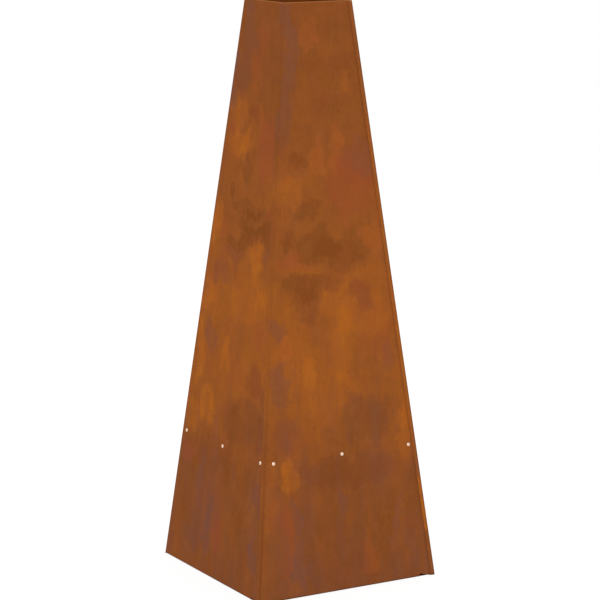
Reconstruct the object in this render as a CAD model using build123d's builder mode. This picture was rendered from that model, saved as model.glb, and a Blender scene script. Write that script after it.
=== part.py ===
from build123d import *
import math
import os

# A free-standing garden fireplace: a tall four-sided pyramid of weathering-steel sheet, open at the
# top as its own flue, with a trapezoid mouth in the front wall. A flanged fire floor is screwed to
# all four walls a quarter of the way up. A log grate stands on that floor, over an ash pan.
# The frame has its origin on the ground at the centre of the base, +Z up and the mouth facing -Y.

# The body
height = 1200 * MM
base_width = 422 * MM  # across two opposite walls at the ground, without the laps
top_width = 161 * MM  # across two opposite walls at the rim, without the laps
sheet = 2 * MM

# Each wall is folded round the corner on its left, seen from outside, and laps over its neighbour
lap_width = 10 * MM
lap_gap = 0.1 * MM
bend_outside = 3.5 * MM
butt_gap = 1.8 * MM  # between a wall's cut edge and the inside of its neighbour

# The foot is an inward fold along the bottom of each wall, which stops short of the next wall's
foot_depth = 35 * MM
foot_gap = 2 * MM
relief_width = 2 * MM
relief_height = 7 * MM
relief_length = 24 * MM  # the relief at the right-hand end runs out to a point

# Stitch welds inside each corner
weld_leg = 3 * MM
weld_length = 26 * MM
weld_margin = 45 * MM  # from the ground and from the rim to the nearest stitch
weld_count = 6

# The mouth
mouth_height = 325 * MM
mouth_border = 45 * MM  # wall left on each side of the mouth
mouth_corner = 12 * MM
sill_drop = 1 * MM  # the sill is this far under the fire floor

# The fire floor
screw_level = 281 * MM
screw_inset = 19 * MM  # from the edge of a wall to its outer screws
floor_rise = 15 * MM  # top of the floor above the screws
floor_flange = 30 * MM
floor_fit = 0.3 * MM
floor_notch = 8 * MM
drain_radius = 4 * MM
drain_inset = 26 * MM

# M4 button-head screws, washers and nuts
thread_radius = 2 * MM
screw_length = 12 * MM
head_radius = 3.9 * MM
head_height = 2.4 * MM
head_side = 0.6 * MM  # straight part of the head under its dome
socket_radius = 1.4 * MM
socket_depth = 1.3 * MM
hole_clearance = 0.25 * MM
nut_clearance = 0.05 * MM
washer_radius = 4.5 * MM
washer_thickness = 0.8 * MM
nut_radius = 3.5 * MM  # to the flats
nut_height = 3.2 * MM
nut_chamfer = 0.4 * MM

# The log grate: bent square bars welded across two flat rails whose ends are turned down as legs
seat_gap = 0.3 * MM  # under a piece that only rests
mouth_clearance = 3 * MM  # beside the legs where they pass the rounded corners of the mouth
bar_size = 8 * MM
bar_count = 7
bar_margin = 16 * MM  # from the end of a rail to the middle of the outermost bar
bar_setback = 42 * MM  # from the front of the pan to the bars' horns
bar_bend = 18 * MM
horn_height = 42 * MM
rail_width = 20 * MM
rail_thickness = 4 * MM
rail_inset = 36 * MM  # from the ends of the bars to the middle of a rail
rail_bend = 7 * MM

# The ash pan, a folded tray that slides out between the grate's legs
pan_sheet = 1.5 * MM
pan_height = 28 * MM
pan_bend = 4 * MM
pan_side_gap = 4 * MM
pan_top_gap = 5 * MM
pan_front_gap = 8 * MM  # to the wall, at the level of the fire floor
pan_back_gap = 12 * MM

# The pan's pull, a square bar bent to a wide U
pull_width = 104 * MM
pull_reach = 34 * MM
pull_bend = 14 * MM

overrun = 5 * MM

# Sizes that follow from those above
lean = math.atan((base_width - top_width) / 2 / height)
wall_run = sheet / math.cos(lean)  # a wall's thickness, measured level
hole_radius = thread_radius + hole_clearance
floor_top = screw_level + floor_rise
sill_level = floor_top - sill_drop
corner_run = ((base_width - top_width) / 2, (base_width - top_width) / 2, height)
corner_length = math.hypot(*corner_run)

wall_turns = {"front": 0, "right": 90, "back": 180, "left": 270}
corner_turns = {"front_left": 0, "front_right": 90, "back_right": 180, "back_left": 270}


def half_width(level):
    """Distance from the centre line to a wall's outer face at a height."""
    return base_width / 2 - level * math.tan(lean)


def turned(turn):
    """A quarter-turn place about the centre line."""
    return Location((0, 0, 0), (0, 0, turn))


def wall_face(level):
    """Plane on the front wall's outer face: X across, Y up the slope and Z outwards."""
    return Plane(
        origin=(0, -half_width(level), level),
        x_dir=(1, 0, 0),
        z_dir=(0, -math.cos(lean), math.sin(lean)),
    )


def screw_places(turn):
    """The three screw places of a wall, each with Z along the screw and out of the wall."""
    outer = half_width(screw_level) - screw_inset
    face = turned(turn) * wall_face(screw_level).location
    return [face * Location((x, 0, 0)) for x in (-outer, 0, outer)]


def copies(piece, places):
    """The same piece at several places, as separate solids of one part."""
    with BuildPart() as group:
        with Locations(*places):
            add(piece)
    return group.part


def write(name, piece):
    """Labels a finished piece and writes it under its own name."""
    piece.label = name
    export_step(piece, os.path.join("parts", name + ".step"))


def wall_section():
    """Section of the front wall at the ground: lap, rounded fold and plate."""
    face = half_width(0)
    fold = -face - lap_gap - wall_run
    with BuildSketch() as section:
        with BuildLine():
            FilletPolyline(
                (fold, -face + lap_width), (fold, -face), (face, -face), radius=bend_outside
            )
            offset(amount=wall_run, side=Side.LEFT)
        make_face()
    return section.sketch


def foot_section(place):
    """The bottom of the front wall and its inward fold, seen along the wall."""
    joined = relief_height + overrun
    with BuildSketch(Plane.YZ.offset(place)) as section:
        with BuildLine():
            FilletPolyline(
                (-half_width(joined), joined),
                (-half_width(0), 0),
                (-half_width(0) + foot_depth, 0),
                radius=bend_outside,
            )
            offset(amount=sheet, side=Side.LEFT)
        make_face()
    return section.sketch


def mouth_outline():
    """The mouth, drawn on the front wall, with its sides parallel to the wall's edges."""
    rise = mouth_height / math.cos(lean)
    wide = half_width(sill_level) - mouth_border
    narrow = half_width(sill_level + mouth_height) - mouth_border
    with BuildSketch(wall_face(sill_level)) as outline:
        with BuildLine():
            Polyline((-wide, 0), (wide, 0), (narrow, rise), (-narrow, rise), close=True)
        make_face()
        fillet(outline.vertices(), radius=mouth_corner)
    return outline.sketch


def wall(side):
    """One wall: a leaning plate with a corner lap, a foot and three screw holes."""
    foot_left = -half_width(0) + wall_run + foot_gap
    foot_right = half_width(0) - foot_depth - foot_gap
    cut_edge = Plane(
        origin=(half_width(0) - wall_run - butt_gap, 0, 0),
        z_dir=(math.cos(lean), 0, math.sin(lean)),
    )
    with BuildPart() as plate:
        # The section runs up the corner on the left, and the plate is trimmed along the one on the right
        extrude(wall_section(), amount=corner_length, dir=corner_run)
        split(bisect_by=cut_edge, keep=Keep.BOTTOM)
        # The bottom strip makes way for the foot, with a slot at one end and a long relief at the other
        with BuildSketch(Plane.XZ):
            with BuildLine():
                Polyline(
                    (foot_left - relief_width, 0),
                    (foot_left - relief_width, relief_height),
                    (foot_right, relief_height),
                    (foot_right + relief_length, 0),
                    close=True,
                )
            make_face()
        extrude(amount=base_width, mode=Mode.SUBTRACT)
        extrude(foot_section(foot_left), amount=foot_right - foot_left)
        with Locations(*screw_places(0)):
            Hole(radius=hole_radius, depth=sheet + overrun)
        if side == "front":
            extrude(mouth_outline(), amount=sheet + overrun, both=True, mode=Mode.SUBTRACT)
    return copies(plate.part, [turned(wall_turns[side])])


def stitch_section(level):
    """Level section of a stitch between one wall's cut edge and its neighbour's plate."""
    inside = -half_width(level) + wall_run
    with BuildSketch(Plane.XY.offset(level)) as section:
        with BuildLine():
            Polyline(
                (inside, inside),
                (inside + weld_leg, inside),
                (inside, inside + butt_gap + weld_leg),
                close=True,
            )
        make_face()
    return section.sketch


def corner_welds(corner):
    """The row of stitches up the inside of a corner."""
    pitch = (height - 2 * weld_margin - weld_length) / (weld_count - 1)
    with BuildPart() as stitches:
        for index in range(weld_count):
            extrude(stitch_section(weld_margin + index * pitch), amount=weld_length, dir=corner_run)
    return copies(stitches.part, [turned(corner_turns[corner])])


def floor_half(level):
    """Distance from the centre line to the outside of the fire floor's flanges."""
    return half_width(level) - wall_run - floor_fit / math.cos(lean)


os.makedirs("parts", exist_ok=True)

# The four walls and the stitches that join them
for side in wall_turns:
    write(side + "_wall", wall(side))
for corner in corner_turns:
    write(corner + "_corner_welds", corner_welds(corner))

# The fire floor: two crossed channels make a plate with four turned-down flanges and open corners
floor_low = floor_top - floor_flange
with BuildPart() as fire_floor:
    with BuildSketch(Plane.YZ):
        with BuildLine():
            FilletPolyline(
                (-floor_half(floor_low), floor_low),
                (-floor_half(floor_top), floor_top),
                (floor_half(floor_top), floor_top),
                (floor_half(floor_low), floor_low),
                radius=bend_outside,
            )
            offset(amount=sheet, side=Side.RIGHT)
        make_face()
    extrude(amount=floor_half(floor_top) - floor_notch, both=True)
    add(fire_floor.part, rotation=(0, 0, 90))
    for turn in wall_turns.values():
        with Locations(*screw_places(turn)):
            Hole(radius=hole_radius, depth=2 * sheet + overrun)
    drain_spacing = 2 * (floor_half(floor_top) - drain_inset)
    with Locations((0, 0, floor_top)):
        with GridLocations(drain_spacing, drain_spacing, 2, 2):
            Hole(radius=drain_radius, depth=sheet + overrun)
write("fire_floor", fire_floor.part)

# A button-head screw, seated on Z = 0 with its shank running down
dome_rise = head_height - head_side
dome_radius = (head_radius**2 + dome_rise**2) / (2 * dome_rise)
half_dome = math.asin(head_radius / dome_radius) / 2
dome_middle = (
    dome_radius * math.sin(half_dome),
    head_height - dome_radius + dome_radius * math.cos(half_dome),
)
with BuildPart() as screw:
    with BuildSketch(Plane.XZ):
        with BuildLine():
            ThreePointArc((head_radius, head_side), dome_middle, (0, head_height))
            Polyline(
                (0, head_height),
                (0, -screw_length),
                (thread_radius, -screw_length),
                (thread_radius, 0),
                (head_radius, 0),
                (head_radius, head_side),
            )
        make_face()
    revolve(axis=Axis.Z)
    with BuildSketch(Plane.XY.offset(head_height)):
        RegularPolygon(radius=socket_radius, side_count=6)
    extrude(amount=-socket_depth, mode=Mode.SUBTRACT)

# The washer and the nut behind the floor's flange
washer_seat = -(2 * sheet + floor_fit)
with BuildPart() as washer:
    with BuildSketch(Plane.XY.offset(washer_seat)):
        Circle(washer_radius)
        Circle(hole_radius, mode=Mode.SUBTRACT)
    extrude(amount=-washer_thickness)

with BuildPart() as nut:
    with BuildSketch(Plane.XY.offset(washer_seat - washer_thickness)):
        RegularPolygon(radius=nut_radius, side_count=6, major_radius=False)
        Circle(thread_radius + nut_clearance, mode=Mode.SUBTRACT)
    extrude(amount=-nut_height)
    outer_rim = nut.faces().sort_by(Axis.Z)[0].outer_wire().edges()
    chamfer(outer_rim, length=nut_chamfer)

for side, turn in wall_turns.items():
    write(side + "_screws", copies(screw.part, screw_places(turn)))
    write(side + "_washers", copies(washer.part, screw_places(turn)))
    write(side + "_nuts", copies(nut.part, screw_places(turn)))

# The places of the grate and the pan, which both stand on the fire floor and pass the mouth
seat = floor_top + seat_gap
grate_half = half_width(sill_level) - mouth_border - mouth_corner - mouth_clearance
grate_top = seat + pan_height + pan_top_gap + rail_thickness  # top of the rails, under the bars
pan_width = 2 * (grate_half - rail_thickness - pan_side_gap)
pan_front = -half_width(floor_top) + wall_run + pan_front_gap
pan_back = half_width(floor_top) - wall_run - pan_back_gap

# The ash pan
with BuildPart() as ash_pan:
    with BuildSketch(Plane.XY.offset(seat)):
        with Locations((0, (pan_front + pan_back) / 2)):
            Rectangle(pan_width, pan_back - pan_front)
    extrude(amount=pan_height)
    fillet(ash_pan.edges().filter_by(Axis.Z), radius=pan_bend)
    fillet(ash_pan.faces().sort_by(Axis.Z)[0].edges(), radius=pan_bend - pan_sheet)
    offset(amount=-pan_sheet, openings=ash_pan.faces().sort_by(Axis.Z)[-1])
write("ash_pan", ash_pan.part)

# Its pull, with both ends on the front of the pan
with BuildPart() as pan_pull:
    with BuildSketch(Plane.XY.offset(seat + pan_height / 2)):
        with BuildLine():
            FilletPolyline(
                (-pull_width / 2, pan_front),
                (-pull_width / 2, pan_front - pull_reach),
                (pull_width / 2, pan_front - pull_reach),
                (pull_width / 2, pan_front),
                radius=pull_bend,
            )
            offset(amount=bar_size, side=Side.LEFT)
        make_face()
    extrude(amount=bar_size / 2, both=True)
write("pan_pull", pan_pull.part)

# The grate's bars, each with a horn at the front that keeps the logs back
bar_front = pan_front + bar_setback
with BuildPart() as grate_bar:
    with BuildSketch(Plane.YZ):
        with BuildLine():
            FilletPolyline(
                (pan_back, grate_top),
                (bar_front, grate_top),
                (bar_front, grate_top + bar_size + horn_height),
                radius=bar_bend,
            )
            offset(amount=bar_size, side=Side.RIGHT)
        make_face()
    extrude(amount=bar_size / 2, both=True)
bar_pitch = 2 * (grate_half - bar_margin) / (bar_count - 1)
write("grate_bars", copies(grate_bar.part, GridLocations(bar_pitch, bar_pitch, bar_count, 1)))

# Its two rails
with BuildPart() as rail:
    with BuildSketch(Plane.XZ):
        with BuildLine():
            FilletPolyline(
                (-grate_half, seat),
                (-grate_half, grate_top),
                (grate_half, grate_top),
                (grate_half, seat),
                radius=rail_bend,
            )
            offset(amount=rail_thickness, side=Side.RIGHT)
        make_face()
    extrude(amount=rail_width / 2, both=True)
write("grate_front_rail", copies(rail.part, [Location((0, bar_front + rail_inset, 0))]))
write("grate_rear_rail", copies(rail.part, [Location((0, pan_back - rail_inset, 0))]))
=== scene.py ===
"""A pyramid garden fireplace of rusted sheet steel, dressed round its packed CAD model.

The sheet metal stays as packed and is given its rust here. The welds, fasteners, log grate and ash
pan are modelled again with the ripples, threads and soft edges that the plain solids leave out.
"""

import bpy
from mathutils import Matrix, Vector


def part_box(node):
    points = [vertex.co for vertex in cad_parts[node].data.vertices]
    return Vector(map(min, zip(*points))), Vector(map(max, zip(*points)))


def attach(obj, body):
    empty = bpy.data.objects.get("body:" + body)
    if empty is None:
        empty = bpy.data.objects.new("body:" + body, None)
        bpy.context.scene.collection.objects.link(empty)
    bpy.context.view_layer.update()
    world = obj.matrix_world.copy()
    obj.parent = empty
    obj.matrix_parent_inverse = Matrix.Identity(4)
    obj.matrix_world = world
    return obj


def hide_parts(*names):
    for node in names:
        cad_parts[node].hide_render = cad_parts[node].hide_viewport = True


bl_info = {
    "name": "Pyramid garden fireplace",
    "version": (1, 0, 0),
    "blender": (4, 5, 0),
    "location": "View3D > Sidebar > Fireplace",
    "description": "Dresses the packed model of a rusted sheet-steel garden fireplace",
    "category": "Object",
}

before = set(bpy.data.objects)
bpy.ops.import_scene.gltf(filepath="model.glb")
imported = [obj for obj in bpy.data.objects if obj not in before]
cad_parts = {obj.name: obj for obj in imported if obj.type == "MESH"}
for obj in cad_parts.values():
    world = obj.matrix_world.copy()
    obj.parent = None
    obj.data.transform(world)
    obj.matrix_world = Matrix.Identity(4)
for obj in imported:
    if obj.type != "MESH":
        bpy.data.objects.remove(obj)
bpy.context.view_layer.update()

import math
import random
from types import SimpleNamespace

import bmesh
import bpy
from mathutils import Matrix, Vector

# Sizes and places of the packed model, in metres, most of them from its nodes' boxes
wall_low, wall_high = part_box("right_wall")
rail_low, rail_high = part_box("grate_front_rail")
bars_low, bars_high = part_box("grate_bars")
pan_low, pan_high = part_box("ash_pan")

HEIGHT = wall_high.z
HALF_BASE = wall_high.x
LAP_WIDTH = 0.010  # what each wall bends round its left corner, over the next wall
HALF_RIM = wall_low.x + LAP_WIDTH  # at the rim, the end of its lap is a wall's innermost place
LEAN = math.atan((HALF_BASE - HALF_RIM) / HEIGHT)  # each wall leans in by this much
SHEET = 0.002  # thickness of the sheet steel
WALL_RUN = SHEET / math.cos(LEAN)  # a wall's thickness, measured level
WELD_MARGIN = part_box("front_left_corner_welds")[0].z  # from the ground and from the rim to a stitch
STITCHES = 6  # up each corner
SCREW_DROP = 0.015  # from the fire floor's top down to the screws in its flanges
SCREW_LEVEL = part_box("fire_floor")[1].z - SCREW_DROP
HEAD_RADIUS = 0.0039
SCREW_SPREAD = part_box("front_screws")[1].x - HEAD_RADIUS  # from the middle screw to the outer ones
FLOOR_FIT = 0.0003  # between the fire floor's flanges and the walls
WASHER_THICKNESS = 0.0008
SEAT = rail_low.z  # what stands on the fire floor stands at this level
GRATE_HALF = rail_high.x  # half the rails' length
GRATE_TOP = rail_high.z  # top of the rails, where the bars lie
BAR_FRONT = bars_low.y
BAR_BACK = bars_high.y
BAR_SIZE = 0.008
PAN_FRONT = pan_low.y
PAN_BACK = pan_high.y
PAN_HALF = pan_high.x  # half its width
PAN_HEIGHT = pan_high.z - pan_low.z

SMOOTH_ANGLE = math.radians(38)  # edges sharper than this stay crisp

# Finishes that several pieces share
WELD_METAL = "Stitch weld left to rust"
BAR_STEEL = "Hot-rolled bar with its mill scale"
ZINC = "Zinc plating with a painted warm reflection"

SWIRL = 0.11  # how far the rain has pulled the rust's patches about
SWIRL_SIZE = 0.0714  # how wide one such pull is
FRAY = 0.03  # how far drips fray their edges

WALL_TURNS = {"front": 0, "right": 90, "back": 180, "left": 270}
CORNER_TURNS = {"front_left": 0, "front_right": 90, "back_right": 180, "back_left": 270}
# How much warmer each wall's lap and its bend are than the wall: a painted highlight, and painted shade
# where the number is below 0
LAP_PAINTED_LIGHT = {"front": 0.08, "right": 0.04, "back": -0.04, "left": 0.12}
# How dark each wall is painted beside the next one's lap: painted shade of the lap's step, with some grime
SEAM_GRIME_AND_SHADE = {"front": 0.08, "right": 0.5, "back": 0.055, "left": 0.2}

# How warm the rust is up the wall, how much purple patina it has and how much the rain streaks it, by
# share of the height
WARMTH_UP_THE_WALL = (
    # The first entry, warmer at the very foot, is painted light there, making up for the walls' own shade
    # so near the floor
    (0.0, 0.42),
    (0.06, 0.29),
    (0.20, 0.31),
    (0.27, 0.54),
    (0.36, 0.66),
    (0.50, 0.68),
    (0.60, 0.50),
    (0.72, 0.50),
    (0.80, 0.34),
    (0.88, 0.24),
    (1.0, 0.26),
)
PATINA_UP_THE_WALL = ((0.0, 0.5), (0.06, 0.26), (0.20, 0.2), (0.30, 0.02), (0.8, 0.0), (1.0, 0.04))
STREAKS_UP_THE_WALL = ((0.0, 1.0), (0.20, 0.9), (0.36, 0.45), (0.6, 0.25), (1.0, 0.3))

# Stains on each wall as seen from outside, in millimetres: across, up, half width and half height, then
# how much warmer, redder and more purple the rust is there
BACK_STAINS = (
    (-72, 1160, 12, 60, 0, 0, 0.7),
    (-86, 1010, 16, 80, -0.05, 0, 0.6),
    (-30, 1130, 24, 26, 0.25, 0.4, 0),
    (45, 1045, 16, 24, 0.22, 0, 0),
    (-15, 890, 16, 30, 0.28, 0.2, 0),
    (30, 905, 12, 34, 0.24, 0.3, 0),
    (-58, 893, 22, 14, -0.28, 0, -0.1),
    (90, 885, 40, 26, -0.05, 0.3, 0.3),
    (50, 825, 50, 60, 0, 0.7, 0),
    (-88, 825, 30, 34, 0.24, 0.1, 0),
    (-45, 782, 24, 18, -0.28, 0, 0),
    (105, 722, 22, 34, 0.25, 0.3, 0),
    (-102, 728, 10, 20, -0.32, 0, 0),
    (-42, 714, 40, 26, -0.36, 0, -0.1),
    (20, 690, 50, 36, -0.34, 0, -0.1),
    (-90, 682, 34, 18, 0.12, 0.7, 0),
    (-60, 630, 54, 22, -0.42, 0, -0.1),
    (54, 606, 26, 20, -0.22, 0.5, 0.05),
    (-4, 604, 26, 30, 0.1, 0.1, 0),
    (-64, 592, 34, 26, -0.3, 0, 0.05),
    (62, 560, 50, 32, 0.16, 0.1, 0),
    (-130, 555, 16, 22, -0.12, 0, 0.5),
    (-117, 508, 13, 24, 0.56, 0.6, 0),
    (16, 478, 22, 70, 0.22, 0.1, 0),
    (-70, 448, 18, 34, 0.25, 0.1, 0),
    (-136, 432, 15, 34, -0.15, 0, 0.5),
    (125, 480, 18, 28, -0.08, 0.2, 0.3),
    (98, 508, 34, 40, 0.04, 0.35, -0.1),
    (-5, 392, 64, 34, 0.14, 0.1, 0),
    (70, 345, 48, 46, -0.32, 0, 0.25),
    (-130, 335, 26, 36, -0.12, 0.2, 0.3),
    (158, 300, 16, 70, 0.28, 0.1, -0.1),
    (-119, 245, 14, 36, 0.42, 0, -0.1),
    (-168, 215, 20, 60, 0.25, 0.2, -0.1),
    (20, 250, 100, 28, -0.22, 0.1, 0.1),
    (-5, 180, 12, 24, 0, 0, 0.5),
    (142, 110, 24, 90, 0.16, 0.1, 0),
    (124, 130, 13, 50, -0.05, 0, 0.6),
    (-116, 85, 12, 100, -0.05, 0, 0.7),
    (-136, 110, 7, 80, 0.1, 0.7, 0),
    (-84, 40, 14, 40, -0.05, 0, 0.5),
    (52, 60, 15, 44, 0.28, 0.4, -0.1),
    (160, 50, 18, 36, -0.05, 0, 0.4),
)
RIGHT_STAINS = (
    (-44, 1140, 26, 60, -0.05, 0, 0.5),
    (-90, 1040, 16, 60, -0.05, 0, 0.8),
    (-45, 1045, 26, 28, -0.15, 0, 0.4),
    (2, 1080, 18, 70, 0.08, 0.5, 0),
    (-62, 965, 28, 34, 0.3, 0, 0),
    (0, 925, 56, 30, 0.1, 0, 0),
    (-88, 935, 16, 16, 0.1, 0.8, 0),
    (2, 966, 22, 13, -0.2, 0, 0),
    (28, 968, 12, 16, 0.22, 0.5, 0),
    (-48, 898, 48, 28, 0.36, 0, 0),
    (72, 900, 38, 60, 0.02, 0.8, 0),
    (4, 862, 20, 13, -0.18, 0, 0),
    (-58, 808, 10, 13, -0.35, 0, -0.1),
    (15, 782, 64, 17, -0.28, 0, -0.1),
    (62, 752, 60, 26, -0.28, 0, -0.1),
    (116, 775, 18, 20, 0, 0.5, 0),
    (-14, 702, 38, 15, -0.3, 0, -0.1),
    (38, 722, 52, 18, -0.28, 0, -0.1),
    (104, 728, 34, 22, -0.26, 0, 0),
    (-108, 735, 18, 42, 0.36, 0, 0),
    (-72, 722, 18, 20, 0.14, 0.5, 0),
    (62, 676, 26, 28, 0.34, 0, 0),
    (112, 690, 14, 20, -0.1, 0.1, 0.3),
    (-22, 672, 32, 18, -0.14, 0.2, 0.25),
    (-78, 628, 30, 18, -0.08, 0.2, 0.25),
    (48, 600, 66, 48, 0.18, 0.1, 0),
    (-118, 590, 24, 30, 0.26, 0, 0),
    (-84, 500, 22, 26, -0.1, 0, 0.55),
    (110, 525, 26, 20, 0.05, 0.6, 0),
    (-136, 460, 13, 60, 0.26, 0, 0),
    (-30, 468, 12, 34, 0.22, 0, 0),
    (112, 436, 34, 28, -0.34, 0.3, 0),
    (164, 400, 14, 60, -0.28, 0, 0),
    (30, 440, 26, 24, 0.08, 0.4, 0),
    (85, 345, 78, 46, -0.36, 0, 0.1),
    (-80, 348, 28, 42, 0.34, 0, 0),
    (-145, 325, 28, 36, 0.22, 0, 0),
    (-150, 244, 34, 20, 0.08, 0.8, 0),
    (-60, 150, 34, 90, -0.04, 0.1, 0.4),
    (-36, 95, 15, 60, -0.05, 0, 0.45),
    (-110, 60, 34, 24, -0.05, 0, 0.4),
    (6, 105, 18, 30, 0.05, 0.9, 0),
    (0, 250, 150, 36, -0.12, 0, 0),
    (160, 318, 9, 16, -0.3, 0, 0),
    (160, 205, 12, 26, -0.1, 0, 0.6),
    (128, 185, 13, 34, 0.24, 0, 0),
    (160, 90, 11, 28, -0.1, 0, 0.7),
)
FRONT_STAINS = (
    (55, 1080, 26, 120, -0.05, 0, 0.5),
    (-30, 930, 44, 54, 0.3, 0, 0),
    (70, 860, 32, 50, 0, 0.8, 0),
    (20, 755, 62, 32, -0.3, 0, -0.1),
    (-44, 712, 44, 30, -0.26, 0, -0.1),
    (64, 712, 34, 20, -0.2, 0, 0),
    (78, 690, 26, 28, 0.28, 0, 0),
    (-140, 470, 18, 70, 0.28, 0, 0),
    (138, 520, 16, 46, 0.24, 0.2, 0),
    (150, 380, 16, 50, -0.1, 0, 0.6),
    (-165, 300, 16, 50, -0.1, 0, 0.6),
    (60, 235, 80, 26, 0.16, 0.3, 0),
    (-60, 160, 70, 40, -0.2, 0, 0.2),
    (125, 90, 15, 80, -0.05, 0, 0.8),
    (-130, 60, 20, 50, 0.26, 0.2, 0),
)
LEFT_STAINS = (
    (60, 1090, 20, 100, -0.05, 0, 0.6),
    (-50, 1010, 28, 34, 0.25, 0.2, 0),
    (30, 900, 46, 44, 0.3, 0, 0),
    (-62, 850, 36, 44, 0, 0.8, 0),
    (-30, 785, 56, 30, -0.3, 0, -0.1),
    (46, 738, 46, 34, -0.3, 0, -0.1),
    (-46, 716, 30, 20, -0.2, 0, 0),
    (-60, 620, 50, 50, 0.28, 0, 0),
    (90, 560, 22, 46, -0.08, 0, 0.6),
    (20, 450, 36, 60, 0.22, 0, 0),
    (-100, 360, 50, 40, -0.34, 0, 0.2),
    (120, 300, 26, 50, 0.3, 0.2, 0),
    (-198, 115, 12, 90, 0.5, 0.2, -0.2),
    (-20, 230, 90, 34, -0.2, 0.1, 0.1),
    (90, 100, 16, 90, -0.05, 0, 0.8),
    (-150, 90, 16, 60, -0.05, 0, 0.5),
)
WALL_STAINS = {"front": FRONT_STAINS, "right": RIGHT_STAINS, "back": BACK_STAINS, "left": LEFT_STAINS}


def linear(code):
    """The linear colour of an sRGB hex code."""
    parts = [int(code[i : i + 2], 16) / 255 for i in (0, 2, 4)]
    return tuple(p / 12.92 if p <= 0.04045 else ((p + 0.055) / 1.055) ** 2.4 for p in parts)


def colour_setting(name, description, code):
    """A colour that a user can change."""
    return bpy.props.FloatVectorProperty(
        name=name, description=description, subtype="COLOR", size=3, min=0, max=1, default=linear(code)
    )


def length_setting(name, description, default):
    """A length in metres that a user can change."""
    return bpy.props.FloatProperty(
        name=name, description=description, default=default, min=0, unit="LENGTH", precision=5
    )


class RustSettings(bpy.types.PropertyGroup):
    """Colours and pattern sizes of the rust on the walls, with its painted shade and painted highlights"""

    deep: colour_setting("Deep rust", "Oldest, darkest brown rust", "81471C")
    brown: colour_setting("Brown rust", "Settled brown rust", "894D22")
    plain: colour_setting("Plain rust", "Middle tone of the walls", "945323")
    orange: colour_setting("Orange rust", "Younger, dustier orange rust", "A15A22")
    bright: colour_setting("Bright rust", "Freshest bloom", "AE621F")
    red: colour_setting("Red rust", "Reddish rust in soft patches", "97492A")
    purple: colour_setting("Purple rust", "Dense purple-grey patina in run-off streaks", "7C4D3D")
    # The seam colour darkens the seam beside each lap, the corner folds and the foot: painted shade, with
    # some grime in the seam
    seam: colour_setting("Seam", "Painted shade and some grime in the seams, round the folds and at the foot", "4A2A19")
    # The rim colour is a painted highlight, on the rim and on the laps' cut ends
    rim: colour_setting("Rim", "Painted highlight on the open top's rim and the laps' cut ends", "B0703F")
    # The inside colour is partly painted shade inside the flue
    inside: colour_setting("Inside", "Rust inside the flue", "7E4216")
    cloud_size: length_setting("Cloud size", "Size of the large blotches", 0.14)
    streak_width: length_setting("Streak width", "Width of a run-off streak", 0.045)
    streak_length: length_setting("Streak length", "Length of a run-off streak", 0.22)
    freckle_size: length_setting("Freckle size", "Size of the darker freckles", 0.006)
    grain_size: length_setting("Grain size", "Size of the rust's grains", 0.0014)


class WeldSettings(bpy.types.PropertyGroup):
    """Sizes and colours of the welds"""

    ripple_pitch: length_setting("Ripple pitch", "Distance between two ripples of a stitch", 0.0021)
    stitch_length: length_setting("Stitch length", "Length of a stitch in a corner", 0.026)
    dark: colour_setting("Dark weld", "Rust in the valleys of the ripples", "4B2C1B")
    light: colour_setting("Light weld", "Rust on the crests of the ripples", "7D4A2A")


class HearthSettings(bpy.types.PropertyGroup):
    """Colours of the fire floor, the log grate and the ash pan, and the softness of their edges"""

    soot: colour_setting("Soot", "Darkest marks on the floor and the pan", "2A1C14")
    burnt: colour_setting("Burnt rust", "Rust darkened by heat", "4E2E1A")
    warm: colour_setting("Warm rust", "Rust that the fire hasn't reached", "6F4022")
    scale: colour_setting("Mill scale", "Skin of hot-rolled bar", "3D3733")
    bar_rust: colour_setting("Bar rust", "Rust that comes through the mill scale", "6B3D22")
    bar_edge: length_setting("Bar edge", "Radius of the rolled bars' edges", 0.0009)
    pan_edge: length_setting("Pan edge", "Radius of the pan's sheared rim", 0.0005)


class FastenerSettings(bpy.types.PropertyGroup):
    """Finish and thread of the screws, washers and nuts"""

    # Both zinc colours hold a warm tint that is a painted reflection of the rusty walls round the screws
    zinc: colour_setting("Zinc", "Zinc plating with a painted warm reflection", "F7DEC8")
    dull_zinc: colour_setting("Dull zinc", "Plating that has begun to dull", "E0C4AC")
    thread_pitch: length_setting("Thread pitch", "Distance between two turns of the thread", 0.0007)


class StageSettings(bpy.types.PropertyGroup):
    """Camera, lamps and floor"""

    camera_distance: length_setting("Camera distance", "Level distance from the centre line", 5.02029)
    camera_height: length_setting("Camera height", "Height of the camera above the ground", 1.52914)
    camera_slide: length_setting("Camera slide", "How far the camera stands to its own right", 0.00426)
    camera_turn: bpy.props.FloatProperty(
        name="Camera turn",
        description="Angle round the object, 0 in front of the mouth",
        default=2.61785,
        subtype="ANGLE",
    )
    camera_tilt: bpy.props.FloatProperty(
        name="Camera tilt", description="How far it looks down", default=0.18819, subtype="ANGLE"
    )
    lens: bpy.props.FloatProperty(
        name="Lens", description="Focal length in millimetres", default=146.4157, min=10, subtype="NONE"
    )
    sky: bpy.props.FloatProperty(
        name="Sky", description="Strength of the even light from all round", default=0.78, min=0
    )
    lamp_power: bpy.props.FloatProperty(
        name="Lamp power", description="Power of each soft lamp", default=54, min=0, unit="POWER"
    )
    lamp_size: length_setting("Lamp size", "Width of each soft lamp", 2.4)
    floor_radius: length_setting("Floor radius", "Radius of the white floor", 7)


def mm(value):
    """Millimetres as metres."""
    return value / 1000


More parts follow.
